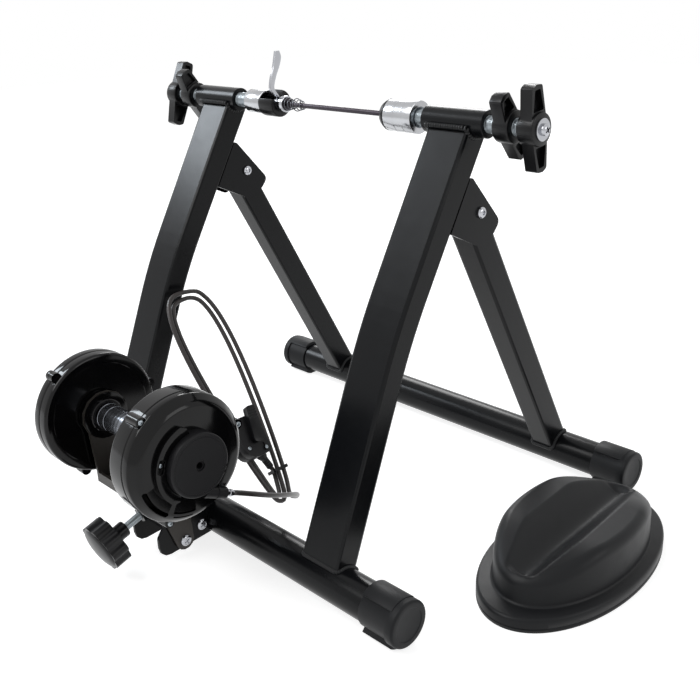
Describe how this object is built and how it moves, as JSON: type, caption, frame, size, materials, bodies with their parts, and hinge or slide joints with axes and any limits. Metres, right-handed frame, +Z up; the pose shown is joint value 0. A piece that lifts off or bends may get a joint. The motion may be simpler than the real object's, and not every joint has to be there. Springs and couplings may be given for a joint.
{
  "type": "wheel-on bike trainer",
  "caption": "Folding steel stand that clamps a bicycle's rear axle and presses the tyre on a magnetic resistance roller, with remote lever and riser block.",
  "frame": {"origin": "bottom centre of the overall box of the stand with its riser block, on the floor", "axes": "+X along the base tubes towards the side of the drum, +Y from the roller towards the rear tube, +Z up"},
  "size_m": [0.6284, 0.5006, 0.4519],
  "materials": {
    "black_paint": "satin powder coat",
    "olive_paint": "satin paint",
    "black_plastic": "fine matt grain",
    "gloss_plastic": "glossy",
    "black_rubber": "matt cable jacket",
    "aluminium": "polished",
    "zinc": "zinc plated",
    "steel": "machined",
    "cast_steel": "machined cast iron",
    "chrome": "chrome plated",
    "dark_steel": "dark"
  },
  "bodies": {
    "stand": {"front_base_tube": "black_paint", "left_upright": "black_paint", "right_upright": "black_paint", "left_clamp_tube": "black_paint", "right_clamp_tube": "black_paint", "left_hinge_bracket": "black_paint", "right_hinge_bracket": "black_paint", "left_hinge_bolt": "zinc", "right_hinge_bolt": "zinc", "mount_bracket": "black_paint", "fixing_bolt": "zinc", "pivot_bolt": "zinc", "shifter_housing": "black_plastic", "shift_cable_lead": "black_rubber", "shift_cable_hank": "black_rubber", "cable_tie": "black_plastic"},
    "rear_frame": {"rear_base_tube": "black_paint", "left_rear_leg": "black_paint", "right_rear_leg": "black_paint"},
    "left_front_foot_body": {"left_front_foot": "black_plastic"},
    "right_front_foot_body": {"right_front_foot": "black_plastic"},
    "left_rear_foot_body": {"left_rear_foot": "black_plastic"},
    "right_rear_foot_body": {"right_rear_foot": "black_plastic"},
    "left_clamp": {"left_cup": "aluminium", "left_cup_collar": "black_plastic", "skewer_head": "chrome", "skewer_rod": "dark_steel", "outer_skewer_spring": "steel", "inner_skewer_spring": "steel"},
    "right_clamp": {"right_cup": "aluminium", "right_cup_rim": "black_plastic"},
    "left_spindle_body": {"left_spindle": "zinc", "left_drive_handle": "black_plastic", "left_drive_screw": "chrome"},
    "right_spindle_body": {"right_spindle": "zinc", "right_drive_handle": "black_plastic", "right_drive_screw": "chrome"},
    "left_lock_body": {"left_lock_handle": "black_plastic"},
    "right_lock_body": {"right_lock_handle": "black_plastic"},
    "skewer_lever_body": {"skewer_lever": "chrome"},
    "skewer_nut_body": {"skewer_nut": "chrome"},
    "resistance_unit": {"yoke": "olive_paint", "left_bearing_housing": "steel", "right_bearing_housing": "steel", "flywheel_cover_inner": "gloss_plastic", "flywheel_cover_outer": "gloss_plastic", "drum_housing_back": "gloss_plastic", "drum_housing_front": "gloss_plastic", "drum_cover": "black_plastic", "cable_ferrule": "steel"},
    "roller_and_flywheel": {"roller": "steel", "roller_shaft": "steel", "flywheel": "cast_steel", "rotor_disc": "aluminium"},
    "magnet_drum": {"magnet_carrier": "black_plastic"},
    "tension_screw": {"tension_rod": "zinc"},
    "tension_knob_body": {"tension_knob": "black_plastic"},
    "shift_lever_body": {"shift_lever": "black_plastic"},
    "riser": {"front_wheel_riser_block": "black_plastic"}
  },
  "joints": [
    {"name": "frame_fold", "type": "hinge", "parent": "stand", "child": "rear_frame", "pos_m": [-0.0465, 0.06741, 0.3207], "axis": [-1, 0, 0], "range_deg": [0, 40]},
    {"name": "left_front_foot_turn", "type": "hinge", "parent": "stand", "child": "left_front_foot_body", "pos_m": [-0.3045, -0.11629, 0.0236], "axis": [1, 0, 0], "range_deg": [0, 180]},
    {"name": "left_rear_foot_turn", "type": "hinge", "parent": "rear_frame", "child": "left_rear_foot_body", "pos_m": [-0.3095, 0.22871, 0.0236], "axis": [1, 0, 0], "range_deg": [0, 180]},
    {"name": "left_clamp_slide", "type": "slide", "parent": "stand", "child": "left_clamp", "axis": [-1, 0, 0], "range_m": [-0.006, 0.018]},
    {"name": "left_drive_turn", "type": "hinge", "parent": "left_clamp", "child": "left_spindle_body", "pos_m": [-0.2465, 0.05971, 0.3994], "axis": [-1, 0, 0], "range_deg": [-720.1, 2160.1]},
    {"name": "left_lock_turn", "type": "hinge", "parent": "left_clamp", "child": "left_lock_body", "pos_m": [-0.2565, 0.05971, 0.3994], "axis": [-1, 0, 0], "range_deg": [0, 180]},
    {"name": "right_front_foot_turn", "type": "hinge", "parent": "stand", "child": "right_front_foot_body", "pos_m": [0.2115, -0.11629, 0.0236], "axis": [1, 0, 0], "range_deg": [0, 180]},
    {"name": "right_rear_foot_turn", "type": "hinge", "parent": "rear_frame", "child": "right_rear_foot_body", "pos_m": [0.2165, 0.22871, 0.0236], "axis": [1, 0, 0], "range_deg": [0, 180]},
    {"name": "right_clamp_slide", "type": "slide", "parent": "stand", "child": "right_clamp", "axis": [1, 0, 0], "range_m": [-0.008, 0.009]},
    {"name": "right_drive_turn", "type": "hinge", "parent": "right_clamp", "child": "right_spindle_body", "pos_m": [0.1535, 0.05971, 0.3994], "axis": [1, 0, 0], "range_deg": [-960.1, 1080.1]},
    {"name": "right_lock_turn", "type": "hinge", "parent": "right_clamp", "child": "right_lock_body", "pos_m": [0.1635, 0.05971, 0.3994], "axis": [1, 0, 0], "range_deg": [0, 180]},
    {"name": "skewer_lever_swing", "type": "hinge", "parent": "left_clamp", "child": "skewer_lever_body", "pos_m": [-0.1165, 0.05971, 0.3994], "axis": [0, -1, 0], "range_deg": [0, 50]},
    {"name": "skewer_nut_spin", "type": "hinge", "parent": "left_clamp", "child": "skewer_nut_body", "pos_m": [0.0435, 0.05971, 0.3994], "axis": [1, 0, 0], "continuous": true},
    {"name": "roller_tilt", "type": "hinge", "parent": "stand", "child": "resistance_unit", "pos_m": [-0.0465, -0.16219, 0.0177], "axis": [-1, 0, 0], "range_deg": [-2, 8], "deforming": ["shift_cable_lead"]},
    {"name": "roller_spin", "type": "hinge", "parent": "resistance_unit", "child": "roller_and_flywheel", "pos_m": [-0.0465, -0.19229, 0.1414], "axis": [1, 0, 0], "continuous": true},
    {"name": "magnet_turn", "type": "hinge", "parent": "resistance_unit", "child": "magnet_drum", "pos_m": [0.0235, -0.19229, 0.1414], "axis": [1, 0, 0], "range_deg": [0, 60]},
    {"name": "tension_screw_slide", "type": "slide", "parent": "stand", "child": "tension_screw", "axis": [0, 0.9489, 0.3156], "range_m": [-0.00136, 0.00545]},
    {"name": "tension_knob_turn", "type": "hinge", "parent": "tension_screw", "child": "tension_knob_body", "pos_m": [-0.0575, -0.16669, 0.0574], "axis": [0, 0.9489, 0.3156], "range_deg": [-327, 1310]},
    {"name": "shift_lever_swing", "type": "hinge", "parent": "stand", "child": "shift_lever_body", "pos_m": [-0.0742, -0.05709, 0.0666], "axis": [0.8, 0, 0.6], "range_deg": [0, 50]},
    {"name": "riser_pull", "type": "slide", "parent": "stand", "child": "riser", "axis": [0.7071, -0.7071, 0], "range_m": [0, 0.445]}
  ],
  "couplings": [
    {"joint": "left_drive_turn", "follows": "left_clamp_slide", "rad_per_m": 2094.4},
    {"joint": "right_drive_turn", "follows": "right_clamp_slide", "rad_per_m": 2094.4},
    {"joint": "tension_knob_turn", "follows": "tension_screw_slide", "rad_per_m": 4188.8},
    {"joint": "roller_tilt", "follows": "tension_screw_slide", "rad_per_m": 25.577},
    {"joint": "magnet_turn", "follows": "shift_lever_swing", "ratio": 1.2},
    {"joint": "riser_pull", "follows": "frame_fold", "m_per_rad": 0.527}
  ]
}
